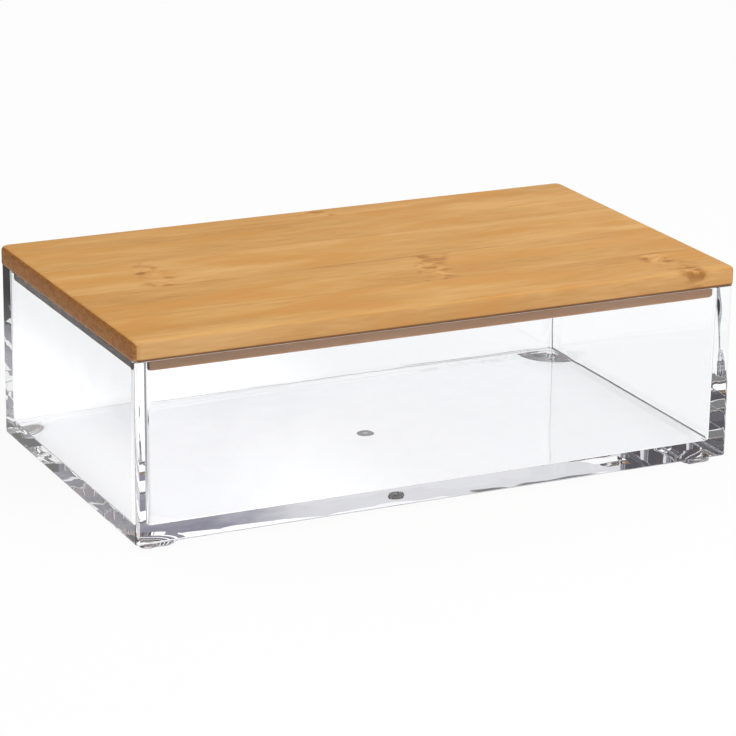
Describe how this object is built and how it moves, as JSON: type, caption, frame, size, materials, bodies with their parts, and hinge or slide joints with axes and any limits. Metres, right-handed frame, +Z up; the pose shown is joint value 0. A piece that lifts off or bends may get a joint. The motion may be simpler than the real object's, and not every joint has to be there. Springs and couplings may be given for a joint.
{
  "type": "cosmetic box",
  "caption": "Low clear rectangular box with thick moulded walls, small corner feet and a lift-off bamboo lid that locates inside the rim.",
  "frame": {"origin": "centre of the footprint, at the level of the undersides of the feet", "axes": "+X along the long side, -Y towards the front, +Z up"},
  "size_m": [0.1658, 0.0944, 0.0534],
  "materials": {
    "clear_plastic": "polished clear styrene, colourless, water-clear with bright edges",
    "bamboo": "carbonised bamboo, fine straight grain along the length, thin satin lacquer",
    "locating_bamboo": "the same bamboo, sanded and left without lacquer"
  },
  "bodies": {
    "box": {"box_body": "clear_plastic"},
    "lid": {"lid_strip_1": "bamboo", "lid_strip_2": "bamboo", "lid_strip_3": "bamboo", "lid_strip_4": "bamboo", "lid_strip_5": "bamboo", "locating_strip_1": "locating_bamboo", "locating_strip_2": "locating_bamboo", "locating_strip_3": "locating_bamboo", "locating_strip_4": "locating_bamboo"}
  },
  "joints": [
    {"name": "lid_lift", "type": "slide", "parent": "box", "child": "lid", "axis": [0, 0, 1], "range_m": [0, 0.06]}
  ]
}
